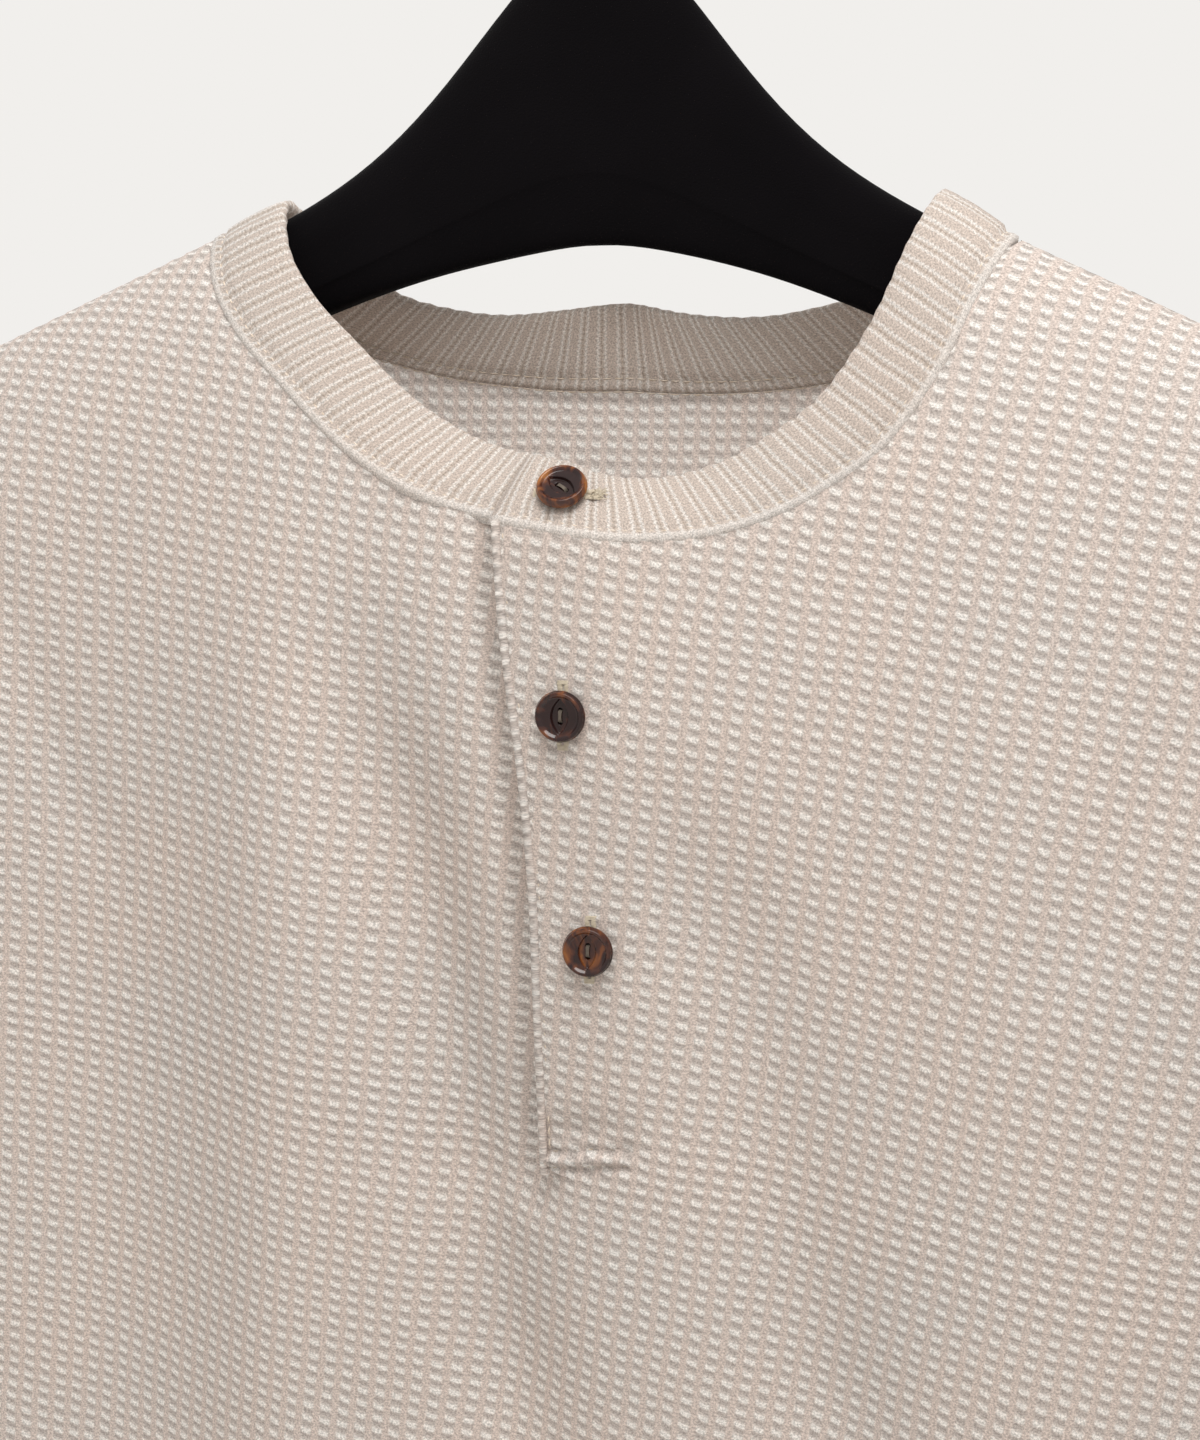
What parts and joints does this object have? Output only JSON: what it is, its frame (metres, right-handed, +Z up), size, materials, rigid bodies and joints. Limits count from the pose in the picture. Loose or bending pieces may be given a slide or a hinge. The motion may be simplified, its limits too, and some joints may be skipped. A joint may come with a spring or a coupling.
{
  "type": "henley shirt on a hanger",
  "caption": "Long-sleeved waffle-knit henley with a round neckband and buttoned placket, hanging on a wide flocked hanger with a steel hook.",
  "frame": {"origin": "inside top of the hanger's hook, where it hangs on a rod", "axes": "+Z up, the front of the shirt faces -Y, the wearer's left is +X"},
  "size_m": [0.753, 0.085, 0.8312],
  "materials": {
    "waffle_knit": "matte heather waffle knit",
    "horn": "polished mottled brown",
    "flock": "matte black flocking",
    "steel": "bright plated wire"
  },
  "bodies": {
    "root": {"front": "waffle_knit", "back": "waffle_knit", "sleeve_left": "waffle_knit", "sleeve_right": "waffle_knit", "neckband": "waffle_knit", "placket_upper": "waffle_knit", "placket_under": "waffle_knit", "button_1": "horn", "button_2": "horn", "button_3": "horn", "hanger_body": "flock", "hanger_hook": "steel"}
  },
  "joints": []
}
